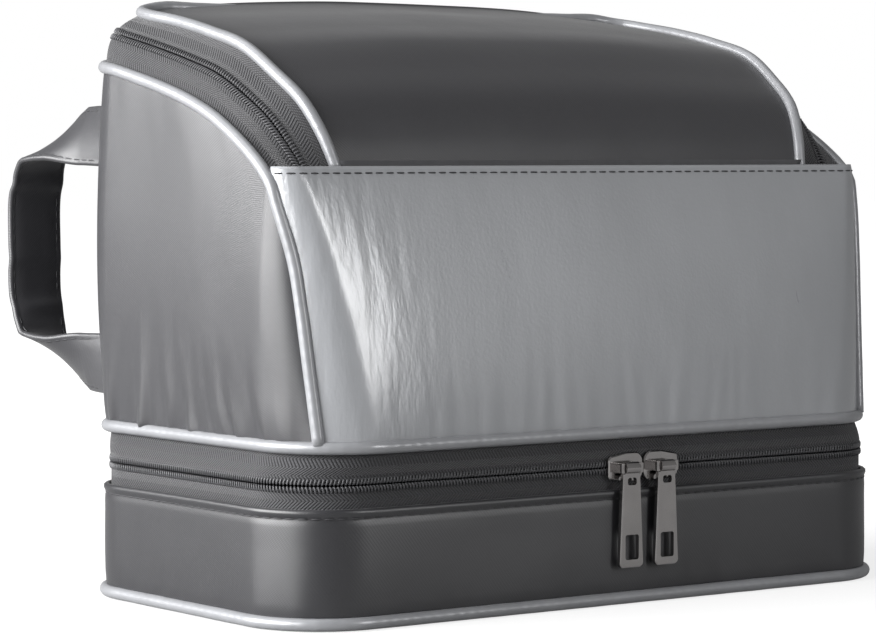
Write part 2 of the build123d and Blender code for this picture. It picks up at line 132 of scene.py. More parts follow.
body_half = BODY_SEAM + round_corner(*BODY_BACK)
lid_half = LID_SEAM + round_corner(*LID_BACK)
body_half += back_run(body_half[-1])
lid_half += back_run(lid_half[-1])
body_route = whole(body_half)
lid_route = whole(lid_half)


def curve_at(points, places):
    """Points on a smooth curve through stations, at fractional station numbers."""
    points = np.asarray(points, float)
    places = np.clip(np.asarray(places, float), 0, len(points) - 1)
    here = np.minimum(places.astype(int), len(points) - 2)
    share = (places - here)[:, None]
    gaps = np.linalg.norm(np.diff(points, axis=0), axis=1)
    slopes = np.gradient(points, np.concatenate([[0], np.cumsum(gaps)]), axis=0)
    span = gaps[here][:, None]
    start, end = points[here], points[here + 1]
    leave, arrive = slopes[here] * span, slopes[here + 1] * span
    s2, s3 = share**2, share**3
    return ((2 * s3 - 3 * s2 + 1) * start + (s3 - 2 * s2 + share) * leave
            + (3 * s2 - 2 * s3) * end + (s3 - s2) * arrive)


def running_length(points):
    """Length along a line of points, at each point."""
    return np.concatenate([[0], np.cumsum(np.linalg.norm(np.diff(points, axis=0), axis=1))])


def sample(at, length, values):
    """Vectors that belong to a line of points, read off at other lengths along it."""
    return np.stack([np.interp(at, length, values[:, axis]) for axis in range(3)], axis=1)


FINE_STEPS = 60


def even_places(points, step):
    """Fractional station numbers at even steps along the curve."""
    fine = np.linspace(0, len(points) - 1, FINE_STEPS * len(points))
    length = running_length(curve_at(points, fine))
    count = max(2, int(round(length[-1] / step)) + 1)
    return np.interp(np.linspace(0, length[-1], count), length, fine)


# Nominal runs of an outline: half the back, corner, side, corner, and the front between them
LEFT_RUNS = [96.0, 42.4, 78.0, 42.4]
RUNS = LEFT_RUNS + [192.0] + LEFT_RUNS[::-1]
PERIMETER = sum(RUNS)
BREAKS = np.concatenate([[0], np.cumsum(RUNS)]) / PERIMETER
LEFT_BACK_SEAM = (BREAKS[1] + BREAKS[2]) / 2
LEFT_FRONT_SEAM = (BREAKS[3] + BREAKS[4]) / 2
SHARPEST_CORNER = 0.5

# Just over one, so that a place of exactly one stays at the end of the outline
FULL_TURN = 1.0000001


def outline(shape, places, inset=0.0):
    """Points and outward normals of a plan outline, from the middle of the back round by the left."""
    half, front, back = shape["half"] - inset, shape["front"] + inset, shape["back"] - inset
    rf = np.maximum(shape["front_corner"] - inset, SHARPEST_CORNER)
    rb = np.maximum(shape["back_corner"] - inset, SHARPEST_CORNER)
    places = np.asarray(places, float) % FULL_TURN
    segment = np.clip(np.searchsorted(BREAKS, places, side="right") - 1, 0, len(RUNS) - 1)
    share = (places - BREAKS[segment]) / (BREAKS[segment + 1] - BREAKS[segment])
    quarter = share * math.pi / 2
    zero = np.zeros_like(share)
    one = np.ones_like(share)
    lines = {
        0: (-share * (half - rb), back * one, zero, one),
        2: (-half * one, (back - rb) + share * (front + rf - back + rb), -one, zero),
        4: ((half - rf) * (2 * share - 1), front * one, zero, -one),
        6: (half * one, (front + rf) + share * (back - rb - front - rf), one, zero),
        8: ((half - rb) * (1 - share), back * one, zero, one),
    }
    arcs = {
        1: (-(half - rb), back - rb, rb, -np.sin(quarter), np.cos(quarter)),
        3: (-(half - rf), front + rf, rf, -np.cos(quarter), -np.sin(quarter)),
        5: (half - rf, front + rf, rf, np.sin(quarter), -np.cos(quarter)),
        7: (half - rb, back - rb, rb, np.cos(quarter), np.sin(quarter)),
    }
    x, y, nx, ny = zero.copy(), zero.copy(), zero.copy(), zero.copy()
    for number, values in lines.items():
        mask = segment == number
        for target, value in zip((x, y, nx, ny), values):
            target[mask] = (value * one)[mask]
    for number, (cx, cy, bend, ax, ay) in arcs.items():
        mask = segment == number
        x[mask] = (cx + bend * ax)[mask]
        y[mask] = (cy + bend * ay)[mask]
        nx[mask] = ax[mask]
        ny[mask] = ay[mask]
    return x, y, nx, ny


def trunk(places, height, inset=0.0):
    """Upper body's outer face at a height, drawn in by an inset."""
    share = (np.asarray(height, float) - WAIST_Z) / (RIM_Z - WAIST_Z)
    low = np.clip(share, 0, 1)
    shape = {key: WAIST[key] + low * (RIM[key] - WAIST[key]) for key in WAIST}
    shape["front"] = WAIST["front"] + share * (RIM["front"] - WAIST["front"])
    return outline(shape, places, inset)


def ring_places(count):
    """Even places all the way round an outline."""
    return np.linspace(0, 1, count + 1)[:-1]


def row_at(edge, height, push=0.0):
    """Points of an outline at a height, pushed out along its normals."""
    x, y, nx, ny = edge
    return np.stack([x + nx * push, y + ny * push, np.broadcast_to(height, x.shape)], axis=1)


def level_normals(edge):
    """Outward normals of an outline, as vectors."""
    return np.stack([edge[2], edge[3], 0 * edge[2]], axis=1)


def bumps(seed, x, y, scale):
    """Soft repeatable noise in -1..1 at points given in millimetres."""
    flat_x, flat_y = np.broadcast_arrays(x, y)
    pairs = zip(flat_x.ravel(), flat_y.ravel())
    values = [noise.noise(Vector((a / scale, b / scale, seed))) for a, b in pairs]
    return np.array(values).reshape(flat_x.shape)


# Mesh makers
def make_mesh(name, verts, faces, uvs, material, body, nodes=()):
    """A smooth mesh piece in metres, riding on its body if it has only one."""
    mesh = bpy.data.meshes.new(name)
    mesh.from_pydata((np.asarray(verts) * MM).tolist(), [], faces)
    layer = mesh.uv_layers.new(name="weave")
    loops = np.array([loop.vertex_index for loop in mesh.loops])
    layer.data.foreach_set("uv", (np.asarray(uvs)[loops] * MM).astype(np.float32).ravel())
    mesh.polygons.foreach_set("use_smooth", [True] * len(mesh.polygons))
    mesh.update()
    piece = bpy.data.objects.new(name, mesh)
    bpy.context.scene.collection.objects.link(piece)
    mesh.materials.append(material)
    if body:
        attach(piece, body)
    if nodes:
        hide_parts(*nodes)
    return piece


def unit(vectors):
    """Rows of vectors, each brought to length one."""
    return vectors / np.maximum(np.linalg.norm(vectors, axis=-1, keepdims=True), TINY)


def grid_normals(points):
    """Normals of a grid of points, by central differences."""
    return unit(np.cross(np.gradient(points, axis=1), np.gradient(points, axis=0)))


def pair_grid(columns, rows):
    """Texture places of a grid, from its column and row lengths."""
    return np.stack(np.broadcast_arrays(columns[None, :], rows[:, None]), axis=2).reshape(-1, 2)


WRAP = 3


def cloth(name, points, thickness, material, body, nodes=(), outward=None, closed=False):
    """A closed cloth layer: a grid of outer points, an inner face and rims."""
    points = np.asarray(points, float)
    rows, columns = points.shape[:2]
    normal = grid_normals(points)
    if closed:
        wrapped = np.concatenate([points[:, -WRAP:], points, points[:, :WRAP]], axis=1)
        normal = grid_normals(wrapped)[:, WRAP:-WRAP]
    facing = outward if outward is not None else points - points.reshape(-1, 3).mean(0)
    if (normal * facing).sum() < 0:
        normal = -normal
    inner = points - normal * thickness
    verts = np.concatenate([points.reshape(-1, 3), inner.reshape(-1, 3)])
    uv = pair_grid(running_length(points[rows // 2]), running_length(points[:, columns // 2]))
    offset = rows * columns
    last = columns if closed else columns - 1
    probe = np.cross(points[0, 1] - points[0, 0], points[1, 0] - points[0, 0])
    flip = float(probe @ normal[0, 0]) < 0
    faces = []
    for row in range(rows - 1):
        for column in range(last):
            a, b = row * columns + column, row * columns + (column + 1) % columns
            quad = (a, b, b + columns, a + columns)
            quad = quad[::-1] if flip else quad
            faces.append(quad)
            faces.append(tuple(offset + i for i in reversed(quad)))
    rims = [[(row * columns + c, row * columns + (c + 1) % columns) for c in range(last)]
            for row in (0, rows - 1)]
    if not closed:
        rims += [[(r * columns + column, (r + 1) * columns + column) for r in range(rows - 1)]
                 for column in (0, columns - 1)]
    for number, rim in enumerate(rims):
        turn = (number in (0, 3)) != flip
        for a, b in rim:
            quad = (b, a, a + offset, b + offset)
            faces.append(quad if turn else quad[::-1])
    return make_mesh(name, verts, faces, np.concatenate([uv, uv]), material, body, nodes)


def even_turns(sides):
    """Even angles round a circle."""
    return np.linspace(0, 2 * math.pi, sides, endpoint=False)


def rings_about(side, other, turn):
    """Directions round each point of a line, at the given turns."""
    return np.cos(turn)[None, :, None] * side[:, None] + np.sin(turn)[None, :, None] * other[:, None]


def tube_faces(count, sides, closed=False):
    """Faces between rings of points, with capped ends unless the rings close on themselves."""
    faces = []
    for i in range(count if closed else count - 1):
        j = (i + 1) % count
        for k in range(sides):
            m = (k + 1) % sides
            faces.append((i * sides + k, i * sides + m, j * sides + m, j * sides + k))
    if not closed:
        faces.append(tuple(range(sides - 1, -1, -1)))
        faces.append(tuple((count - 1) * sides + k for k in range(sides)))
    return faces


# Materials
CLOTH = (0.034, 0.034, 0.038)
# The tray's cloth is the same satin as the rest, made darker as painted shade for its front, which faces
# away from the key lamp
TRAY_SHADED_CLOTH = (0.020, 0.020, 0.023)
SILVER = (0.335, 0.343, 0.36)
PIPING_GREY = (0.285, 0.29, 0.305)
TAPE_DARK = (0.008, 0.008, 0.009)
TAPE_LIGHT = (0.088, 0.088, 0.094)
LINING = (0.055, 0.055, 0.06)
COIL_GREY = (0.075, 0.075, 0.08)
THREAD_GREY = (0.03, 0.03, 0.033)
GUNMETAL = (0.40, 0.385, 0.38)
SHEEN_ROUGHNESS = 0.4

# Sizes of the weaves in metres, and the bands of a wave texture per unit of its scale
TWILL = 0.00055
CROSS_TWILL = 0.0009
LINING_THREAD = 0.0006
PIPING_RIPPLE = 0.0042
HERRINGBONE = 0.0026
RIB = 0.0012
TAPE_THREAD = 0.00045
WAVE_BANDS = 3.183


def principled(name, color, roughness, metallic=0.0, specular=0.5, sheen=0.0, coat=0.0, coat_roughness=0.3):
    """A node material and its main shader."""
    material = bpy.data.materials.new(name)
    material.use_nodes = True
    shader = material.node_tree.nodes["Principled BSDF"]
    shader.inputs["Base Color"].default_value = (*color, 1)
    shader.inputs["Roughness"].default_value = roughness
    shader.inputs["Metallic"].default_value = metallic
    shader.inputs["Specular IOR Level"].default_value = specular
    shader.inputs["Sheen Weight"].default_value = sheen
    shader.inputs["Sheen Roughness"].default_value = SHEEN_ROUGHNESS
    shader.inputs["Coat Weight"].default_value = coat
    shader.inputs["Coat Roughness"].default_value = coat_roughness
    return material, shader


class Graph:
    """Short calls that add and join the shader nodes of a material or a world."""

    def __init__(self, owner):
        self.tree = owner.node_tree

    def node(self, kind, inputs=None, **settings):
        made = self.tree.nodes.new(kind)
        for key, value in settings.items():
            setattr(made, key, value)
        for key, value in (inputs or {}).items():
            if isinstance(value, bpy.types.NodeSocket):
                self.tree.links.new(value, made.inputs[key])
            else:
                made.inputs[key].default_value = value
        return made

    def math(self, operation, a, b=0.0):
        return self.node("ShaderNodeMath", {0: a, 1: b}, operation=operation).outputs[0]

    def uv(self):
        return self.node("ShaderNodeUVMap", uv_map="weave").outputs[0]

    def place(self):
        return self.node("ShaderNodeTexCoord").outputs["Object"]

    def noise(self, vector, scale, detail=3.0, roughness=0.5):
        values = {"Vector": vector, "Scale": scale, "Detail": detail, "Roughness": roughness}
        return self.node("ShaderNodeTexNoise", values).outputs[0]

    def wave(self, vector, period, turn=0.0, distort=0.0):
        turned = self.node("ShaderNodeMapping", {"Vector": vector, "Rotation": (0, 0, turn)}).outputs[0]
        scale = 1 / (period * WAVE_BANDS)
        values = {"Vector": turned, "Scale": scale, "Distortion": distort, "Detail": 0.0}
        return self.node("ShaderNodeTexWave", values, bands_direction="X").outputs["Fac"]

    def mix(self, share, low, high):
        made = self.node("ShaderNodeMix", {0: share}, data_type="RGBA")
        for socket, color in ((6, low), (7, high)):
            made.inputs[socket].default_value = (*color, 1)
        return made.outputs[2]

    def tint(self, share, color, low, high):
        """A colour that varies between two shares of itself."""
        return self.mix(share, [c * low for c in color], [c * high for c in color])

    def fade(self, value, start, end, low, high, **settings):
        """A value that goes from low to high between a start and an end."""
        values = {"Value": value, "From Min": start, "From Max": end, "To Min": low, "To Max": high}
        return self.node("ShaderNodeMapRange", values, **settings).outputs[0]

    def spread(self, value, low, high):
        return self.fade(value, 0.0, 1.0, low, high)

    def bump(self, height, strength, distance, normal=None):
        values = {"Height": height, "Strength": strength, "Distance": distance}
        if normal is not None:
            values["Normal"] = normal
        return self.node("ShaderNodeBump", values).outputs[0]

    def join(self, output, shader, name):
        self.tree.links.new(output, shader.inputs[name])


def satin_cloth(name, color):
    """Dark charcoal satin cloth with a fine diagonal twill and a silky face."""
    material, shader = principled(name, color, 0.34, specular=0.75, sheen=0.08)
    g = Graph(material)
    uv, place = g.uv(), g.place()
    twill = g.wave(uv, TWILL, math.radians(52))
    cross = g.wave(uv, CROSS_TWILL, math.radians(-38))
    soft = g.noise(place, 55.0, 3.0)
    slub = g.noise(place, 900.0, 2.0)
    shade = g.math("ADD", g.math("MULTIPLY", twill, 0.35), g.math("MULTIPLY", slub, 0.65))
    g.join(g.tint(shade, color, 0.86, 1.16), shader, "Base Color")
    g.join(g.spread(soft, 0.31, 0.40), shader, "Roughness")
    weave = g.math("ADD", twill, g.math("MULTIPLY", cross, 0.5))
    low = g.bump(weave, 0.22, 0.00012)
    g.join(g.bump(soft, 0.10, 0.0012, low), shader, "Normal")
    return material


# Distances in metres from the pocket's left seam over which its wrinkles fade, and what is left of them
WRINKLE_NEAR = 0.018
WRINKLE_FAR = 0.060
WRINKLE_LEFT = 0.06


def leatherette():
    """Glossy silver grey coated cloth with a fine grain and soft upright wrinkles."""
    material, shader = principled("silver_leatherette", SILVER, 0.36, metallic=0.1, specular=0.6, coat=0.7,
                                  coat_roughness=0.2)
    g = Graph(material)
    place = g.place()
    grain = g.noise(place, 800.0, 2.0, 0.5)
    cell = g.node("ShaderNodeTexVoronoi", {"Vector": place, "Scale": 900.0}).outputs[0]
    stretched = g.node("ShaderNodeMapping", {"Vector": place, "Scale": (2.2, 1.0, 0.55)}).outputs[0]
    wrinkle = g.noise(stretched, 60.0, 4.0, 0.55)
    cloud = g.noise(place, 18.0, 2.0)
    g.join(g.tint(cloud, SILVER, 0.90, 1.08), shader, "Base Color")
    g.join(g.spread(wrinkle, 0.24, 0.36), shader, "Roughness")
    fine = g.bump(g.math("ADD", grain, g.math("MULTIPLY", cell, 0.6)), 0.16, 0.00015)
    along = g.node("ShaderNodeSeparateXYZ", {"Vector": g.uv()}).outputs[0]
    near = g.fade(along, WRINKLE_NEAR, WRINKLE_FAR, 1.0, WRINKLE_LEFT, interpolation_type="SMOOTHSTEP")
    g.join(g.bump(g.math("MULTIPLY", wrinkle, near), 0.45, 0.0014, fine), shader, "Normal")
    return material


def piping_skin():
    """Light silver grey coated piping, mottled and finely rippled."""
    material, shader = principled("silver_piping", PIPING_GREY, 0.33, metallic=0.15, specular=0.6, coat=0.2)
    g = Graph(material)
    place = g.place()
    g.join(g.tint(g.noise(place, 160.0, 3.0), PIPING_GREY, 0.86, 1.08), shader, "Base Color")
    ripple = g.wave(g.uv(), PIPING_RIPPLE, 0.0, 2.0)
    fine = g.bump(g.noise(place, 1800.0, 3.0), 0.12, 0.0001)
    g.join(g.bump(ripple, 0.10, 0.00035, fine), shader, "Normal")
    return material


def tape_weave():
    """Charcoal zip tape woven in a herringbone of slanted ribs."""
    material, shader = principled("zip_tape_weave", TAPE_DARK, 0.72, specular=0.35, sheen=0.25)
    g = Graph(material)
    parts = g.node("ShaderNodeSeparateXYZ", {"Vector": g.uv()})
    along, across = parts.outputs[0], parts.outputs[1]
    band = g.math("PINGPONG", across, HERRINGBONE)
    slant = g.math("ADD", along, g.math("MULTIPLY", band, 1.1))
    rib = g.math("ABSOLUTE", g.math("SINE", g.math("MULTIPLY", slant, math.pi / RIB)))
    thread = g.math("ABSOLUTE", g.math("SINE", g.math("MULTIPLY", across, math.pi / TAPE_THREAD)))
    weave = g.math("MULTIPLY", rib, g.spread(thread, 0.6, 1.0))
    fuzz = g.noise(g.place(), 2600.0, 2.0)
    shade = g.math("MULTIPLY", weave, g.spread(fuzz, 0.6, 1.2))
    g.join(g.mix(shade, TAPE_DARK, TAPE_LIGHT), shader, "Base Color")
    g.join(g.bump(weave, 0.9, 0.00035), shader, "Normal")
    return material


def lining_cloth():
    """Thin dark lining with a plain weave."""
    material, shader = principled("lining_weave", LINING, 0.55, specular=0.4, sheen=0.2)
    g = Graph(material)
    uv, place = g.uv(), g.place()
    weave = g.math("MULTIPLY", g.wave(uv, LINING_THREAD), g.wave(uv, LINING_THREAD, math.pi / 2))
    g.join(g.tint(g.noise(place, 300.0), LINING, 0.8, 1.2), shader, "Base Color")
    fine = g.bump(weave, 0.3, 0.0001)
    g.join(g.bump(g.noise(place, 70.0, 4.0), 0.25, 0.0015, fine), shader, "Normal")
    return material


def plain_detail(name, color, roughness, metallic=0.0, grain=1200.0, depth=0.00006):
    """A finish with fine grain and slight colour variation."""
    material, shader = principled(name, color, roughness, metallic)
    g = Graph(material)
    place = g.place()
    fine = g.noise(place, grain, 3.0)
    g.join(g.tint(fine, color, 0.85, 1.12), shader, "Base Color")
    g.join(g.spread(g.noise(place, grain / 8, 3.0), roughness * 0.8, roughness * 1.25), shader, "Roughness")
    g.join(g.bump(fine, 0.2, depth), shader, "Normal")
    return material


CLOTH_MAT = satin_cloth("satin_cloth", CLOTH)
# Darker copy of the satin cloth for the tray wall and floor board: painted shade
TRAY_SHADED_MAT = satin_cloth("tray_shaded_satin_cloth", TRAY_SHADED_CLOTH)
SILVER_MAT = leatherette()
PIPING_MAT = piping_skin()
TAPE_MAT = tape_weave()
LINING_MAT = lining_cloth()
COIL_MAT = plain_detail("coil_nylon", COIL_GREY, 0.42, grain=900.0)
THREAD_MAT = plain_detail("thread", THREAD_GREY, 0.6, grain=3000.0)
METAL_MAT = plain_detail("gunmetal", GUNMETAL, 0.13, metallic=1.0, grain=120.0, depth=0.000006)


# Piping, coils and stitches
PIPING_STEP = 2.5
PIPING_SIDES = 14
PIPING_WOBBLE = 0.03

COIL_PITCH = 1.2
COIL_GAP = 0.30
COIL_WIDTH = 1.7
COIL_HEIGHT = 0.5
COIL_LIFT = 0.18
COIL_THREAD = 0.6
COIL_POINTS = 9
COIL_SIDES = 5

STITCH = 3.0
STITCH_GAP = 1.1
STITCH_WIDTH = 0.55
STITCH_SINK = 0.08
STITCH_RISE = 0.25
STITCH_FLAT = 0.8
STITCH_SIDES = 6
STITCH_PARTS = ((0.0, 0.25), (0.12, 0.85), (0.5, 1.0), (0.88, 0.85), (1.0, 0.25))


def piping_cord(name, route, body, node, closed=False):
    """A round cord of piping along a route, with capped ends unless it is a ring."""
    if closed:
        line = np.asarray(route, float)
        tangent = np.gradient(np.concatenate([line[-2:], line, line[:2]]), axis=0)[2:-2]
    else:
        line = curve_at(route, even_places(route, PIPING_STEP))
        tangent = np.gradient(line, axis=0)
    tangent = unit(tangent)
    side = line - line.mean(0)
    side = unit(side - tangent * (side * tangent).sum(1, keepdims=True))
    turn = even_turns(PIPING_SIDES)
    rings = rings_about(side, np.cross(tangent, side), turn)
    size = PIPING / 2 * (1 + PIPING_WOBBLE * bumps(3.7, line[:, 0] + line[:, 2], line[:, 1], 9.0))
    verts = (line[:, None] + rings * size[:, None, None]).reshape(-1, 3)
    uvs = pair_grid(turn * PIPING / 2, running_length(line))[:, ::-1]
    faces = tube_faces(len(line), PIPING_SIDES, closed)
    return make_mesh(name, verts, faces, uvs, PIPING_MAT, body, (node,))


def coil_half(name, line, across, outward, sign, body, node):
    """Half of a nylon coil: one thread wound in flat turns beside the parting line."""
    length = running_length(line)
    count = int(length[-1] / COIL_PITCH * COIL_POINTS)
    at = np.linspace(0, length[-1], count)
    base, wide, out = (sample(at, length, values) for values in (line, across, outward))
    phase = at / COIL_PITCH * 2 * math.pi
    reach = COIL_GAP + COIL_WIDTH / 2 * (1 - np.cos(phase))
    lift = COIL_LIFT + COIL_HEIGHT / 2 * np.sin(phase)
    path = base + wide * (sign * reach)[:, None] + out * lift[:, None]
    tangent = unit(np.gradient(path, axis=0))
    side = unit(np.cross(tangent, np.gradient(base, axis=0)))
    turn = even_turns(COIL_SIDES)
    rings = rings_about(side, np.cross(tangent, side), turn)
    verts = (path[:, None] + rings * COIL_THREAD / 2).reshape(-1, 3)
    uvs = pair_grid(turn, at)[:, ::-1]
    faces = tube_faces(count, COIL_SIDES)
    return make_mesh(name, verts, faces, uvs, COIL_MAT, body, (node,))


def stitches(name, line, outward, body, length=STITCH):
    """A row of thread stitches lying along a line on cloth."""
    line, outward = np.asarray(line, float), np.asarray(outward, float)
    distance = running_length(line)
    shares = np.array([share for share, _ in STITCH_PARTS])
    verts, faces, uvs = [], [], []
    for start in np.arange(STITCH_GAP, distance[-1] - length, length + STITCH_GAP):
        at = start + shares * length
        spine, out = sample(at, distance, line), sample(at, distance, outward)
        ahead = spine[-1] - spine[0]
        ahead /= np.linalg.norm(ahead)
        side = np.cross(ahead, out)
        first = len(verts)
        for i, (_, swell) in enumerate(STITCH_PARTS):
            rise = out[i] * (STITCH_WIDTH * STITCH_RISE * swell - STITCH_SINK)
            for angle in even_turns(STITCH_SIDES):
                away = side[i] * math.cos(angle) + out[i] * math.sin(angle) * STITCH_FLAT
                verts.append(spine[i] + rise + STITCH_WIDTH / 2 * swell * away)
                uvs.append((at[i], angle))
        last = first + (len(STITCH_PARTS) - 1) * STITCH_SIDES
        for here in range(first, last, STITCH_SIDES):
            beyond = here + STITCH_SIDES
            for k in range(STITCH_SIDES):
                m = (k + 1) % STITCH_SIDES
                faces.append((here + k, beyond + k, beyond + m, here + m))
        faces.append(tuple(range(first, first + STITCH_SIDES)))
        faces.append(tuple(reversed(range(last, last + STITCH_SIDES))))
    return make_mesh(name, verts, faces, uvs, THREAD_MAT, body)


# Tray: height and inset of its wall's outer face, from the base seam over the hem
WALL_PROFILE = [
    (PIPING - 1.2, 0.5), (4.4, 0.1), (8.0, -0.1), (13.0, -0.15), (18.0, -0.15), (23.0, -0.1), (28.0, 0.0),
    (31.5, 0.0), (33.4, 0.1), (HEM_SEAM_Z, 0.35), (34.6, 0.1), (35.6, -0.35), (36.5, -0.3),
    (TRAY_TOP_Z, 0.25), (37.05, 1.0), (36.6, 1.5)]
DIP_FROM_Z = 20.0
HEM_STITCH_INSET = 0.22
BASE_CORD_Z = 2.05
BOARD_INSET = 2.2
BOARD_RINGS = np.concatenate([np.linspace(0.02, 0.9, 12), [0.96, 1.0]])
TRAY_FLOOR_TOP_Z = 2.0
TRAY_LINING_INSET = 3.1


def pucker(distance, away, wave, depth, fade, seed):
    """Irregular gathers that run off a seam and fade with the distance from it."""
    away = np.broadcast_to(away, distance.shape)
    bend = 0.35 * away * bumps(seed + 0.5, distance, 0.0, 3 * wave)
    folds = bumps(seed, distance + bend, 0.12 * away, 0.55 * wave)
    fine = bumps(seed + 9.0, distance + bend, 0.2 * away, 0.3 * wave)
    return 2.2 * depth * np.exp(-((away / fade) ** 1.4)) * (folds + 0.35 * fine)


def make_tray_wall():
    """Upright wall with its turned, topstitched hem."""
    places = ring_places(360)
    distance = places * PERIMETER
    rows = []
    for height, inset in WALL_PROFILE:
        sway = 0.35 * bumps(1.3, distance, height * 1.5, 42.0)
        seam = pucker(distance, abs(height - PIPING), 17.0, 0.22, 5.0, 2.1)
        droop = max(0, (height - DIP_FROM_Z) / (TRAY_TOP_Z - DIP_FROM_Z))
        dip = 0.45 * bumps(7.7, distance, 0.0, 60.0) * droop
        rows.append(row_at(outline(TRAY, places, inset), height + dip, sway + seam))
    wall = cloth("tray_wall_cloth", rows, WALL_THICK, TRAY_SHADED_MAT, "tray",
                 ("tray_wall", "tray_hem"), closed=True)
    edge = outline(TRAY, np.linspace(0, 1, 700), HEM_STITCH_INSET)
    stitches("tray_hem_stitches", row_at(edge, HEM_SEAM_Z), level_normals(edge), "tray")


def plate(name, shape, low, high, material, body, node, sag=0.0, seed=0.0):
    """A flat stiffened board of cloth with a soft upper face."""
    x, y, _, _ = outline(shape, ring_places(180), BOARD_INSET)
    middle_y = (shape["front"] + shape["back"]) / 2
    verts, uvs = [], []
    for height, upper in ((high, True), (low, False)):
        for ring in BOARD_RINGS:
            px, py = x * ring, middle_y + (y - middle_y) * ring
            edge = min(1.0, (1 - ring) * 6)
            drop = sag * edge * (0.6 + 0.8 * bumps(seed, px, py, 45.0)) if upper else 0 * px
            verts.append(np.stack([px, py, height - drop], axis=1))
            uvs.append(np.stack([px, py], axis=1))
    count = len(x)
    total = len(BOARD_RINGS) * count
    rim = total - count
    faces = []
    for layer, turn in ((0, False), (total, True)):
        for inner in range(layer, layer + rim, count):
            outer = inner + count
            for k in range(count):
                m = (k + 1) % count
                quad = (inner + k, inner + m, outer + m, outer + k)
                faces.append(quad if turn else quad[::-1])
        hub = tuple(layer + k for k in range(count))
        faces.append(hub[::-1] if turn else hub)
    for k in range(count):
        m = (k + 1) % count
        faces.append((rim + k, rim + m, total + rim + m, total + rim + k))
    return make_mesh(name, np.concatenate(verts), faces, np.concatenate(uvs), material, body, (node,))


def make_tray_lining():
    """Thin lining that stands inside the tray's wall."""
    places = ring_places(300)
    rows = []
    for height in np.linspace(2.1, 35.4, 10):
        sway = 0.25 * bumps(4.4, places * PERIMETER, height, 20.0)
        rows.append(row_at(outline(TRAY, places, TRAY_LINING_INSET), height, sway))
    piece = cloth("tray_lining_cloth", rows, TRAY_LINING_THICK, LINING_MAT, "tray",
                  ("tray_lining",), closed=True)


make_tray_wall()
piping_cord("base_piping_cord", row_at(outline(TRAY, ring_places(360)), BASE_CORD_Z), "tray", "base_piping",
            closed=True)
plate("tray_floor_board", TRAY, 0.0, TRAY_FLOOR_TOP_Z, TRAY_SHADED_MAT, "tray", "tray_floor")
make_tray_lining()

# Lower zip and the cloth hinge behind
ZIP_PLACES = np.linspace(HINGE_HALF / PERIMETER, 1 - HINGE_HALF / PERIMETER, 420)
TAPE_INSET = 2.0
WAIST_TAPE_INSET = 1.5
TAPE_LOW_Z = 29.0
TAPE_GAP = 0.5
TAPE_BELOW_WAIST = 1.6
HINGE_LAP = 1.5
HINGE_LOW_Z = 30.0
HINGE_HIGH_Z = 54.0
HINGE_Y = 64.2


def make_lower_zip():
    """Both tapes and both halves of the coil round the tray."""
    edge = outline(TRAY, ZIP_PLACES, TAPE_INSET)
    x, y, nx, ny = edge
    rows = [row_at(edge, height) for height in np.linspace(TAPE_LOW_Z, ZIP_Z - TAPE_GAP, 9)]
    low = cloth("tray_zip_tape_weave", rows, TAPE_THICK, TAPE_MAT, "tray", ("tray_zip_tape",))
    wx, wy, _, _ = outline(WAIST, ZIP_PLACES, WAIST_TAPE_INSET)
    rows = []
    for share in np.linspace(0, 1, 9):
        height = ZIP_Z + TAPE_GAP + share * (WAIST_Z - TAPE_BELOW_WAIST - ZIP_Z)
        lean = max(0.0, share - 0.2) / 0.8
        swell = 0.5 * math.sin(math.pi * share)
        rows.append(row_at((x + lean * (wx - x), y + lean * (wy - y), nx, ny), height, swell))
    high = cloth("body_lower_tape_weave", rows, TAPE_THICK, TAPE_MAT, "upper_body",
                 ("body_lower_tape",))
    line, out = row_at(edge, ZIP_Z), level_normals(edge)
    up = np.tile([0.0, 0.0, 1.0], (len(line), 1))
    coil_half("tray_coil_turns", line, up, out, -1, "tray", "tray_zip_coil")
    coil_half("body_lower_coil_turns", line, up, out, 1, "upper_body", "body_lower_coil")


def make_cloth_hinge():
    """Cloth that joins the tray to the upper body behind."""
    across = np.linspace(-HINGE_HALF - HINGE_LAP, HINGE_HALF + HINGE_LAP, 90)
    rows = []
    for share in np.linspace(0, 1, 15):
        height = HINGE_LOW_Z + share * (HINGE_HIGH_Z - HINGE_LOW_Z)
        y = HINGE_Y + 1.3 * max(0.0, share - 0.55) / 0.45
        sway = 0.18 * bumps(9.1, across, height, 14.0)
        rows.append(np.stack([across, y + sway, np.full_like(across, height)], axis=1))
    piece = cloth("hinge_cloth", rows, HINGE_THICK, CLOTH_MAT, None,
                  ("hinge_strip_lower", "hinge_strip_upper"), outward=np.array([0.0, 1.0, 0.0]))
    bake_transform(piece)


make_lower_zip()
make_cloth_hinge()

# Upper body's panels: the seam above them as depth and height, and how their own seams run
SEAM_STATIONS = np.array([(-60.0, 128.0), (-48.7, 136.5)] + [(y, z) for _, y, z in body_half[:12]])
TOP_GUESS_Z = 150.0
TOP_ROUNDS = 14
CORNER_PADDING = 2.0
SEAM_SHIFT = 0.020
SHIFT_FROM_Z = 104.0
SHIFT_OVER = 32.0
PANEL_FOOT = 0.9
LEVELS_BELOW_RIM = 3.5
POCKET_HEM = 2.4
POCKET_STITCH = 2.9
FRONT_LOWER = 0.6
FRONT_BEHIND = 1.7


def seam_height(y):
    """Height of the side and back piping above a place in depth."""
    return np.interp(y, SEAM_STATIONS[:, 0], SEAM_STATIONS[:, 1])


def column_tops(places, inset=0.0, below=0.0):
    """Height of the seam above each column of the upper body."""
    top = np.full(len(places), TOP_GUESS_Z)
    for _ in range(TOP_ROUNDS):
        _, y, _, _ = trunk(places, top, inset)
        top = 0.5 * top + 0.5 * seam_height(y)
    return top - below


